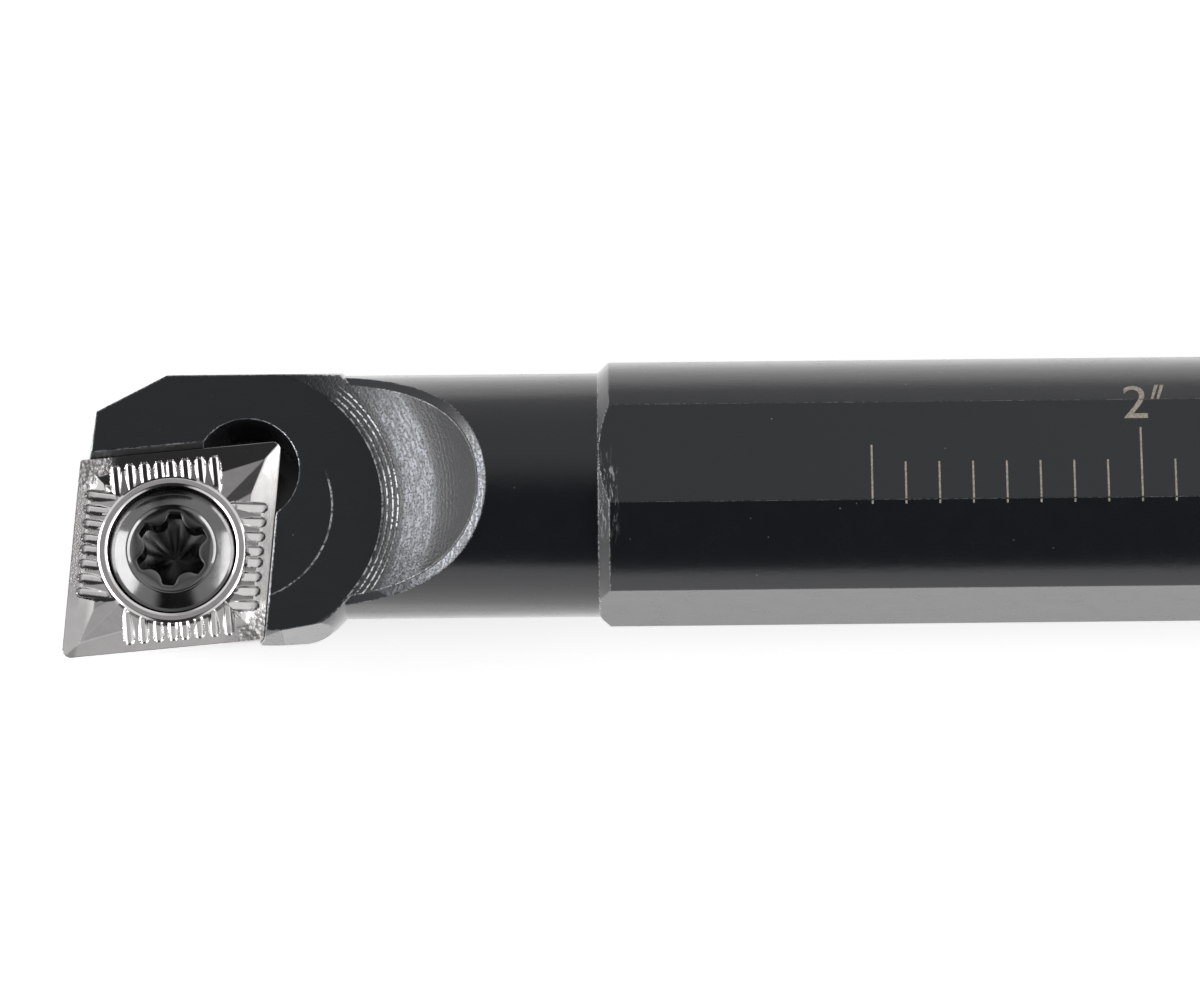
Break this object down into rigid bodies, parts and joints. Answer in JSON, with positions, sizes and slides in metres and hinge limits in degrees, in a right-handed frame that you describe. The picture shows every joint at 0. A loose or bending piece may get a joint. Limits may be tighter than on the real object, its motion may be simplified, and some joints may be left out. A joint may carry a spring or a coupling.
{
  "type": "indexable boring bar",
  "caption": "Round steel boring bar with long clamping flats, a slimmer neck and a head that carries a screwed rhombic carbide insert.",
  "frame": {"origin": "centre of the shank's rear end face, on the bar's axis", "axes": "+X along the bar, out of the rear end face, with the cutting end at -X; -Y towards the cutting side; +Z out of the top flat that carries the scale"},
  "size_m": [0.1524, 0.0138, 0.0124],
  "materials": {
    "bar_steel": "black oxide over turned and milled steel",
    "insert_carbide": "polished uncoated carbide",
    "screw_steel": "glossy black oxide"
  },
  "bodies": {
    "root": {"bar_body": "bar_steel", "cutting_insert": "insert_carbide", "insert_screw": "screw_steel"}
  },
  "joints": []
}
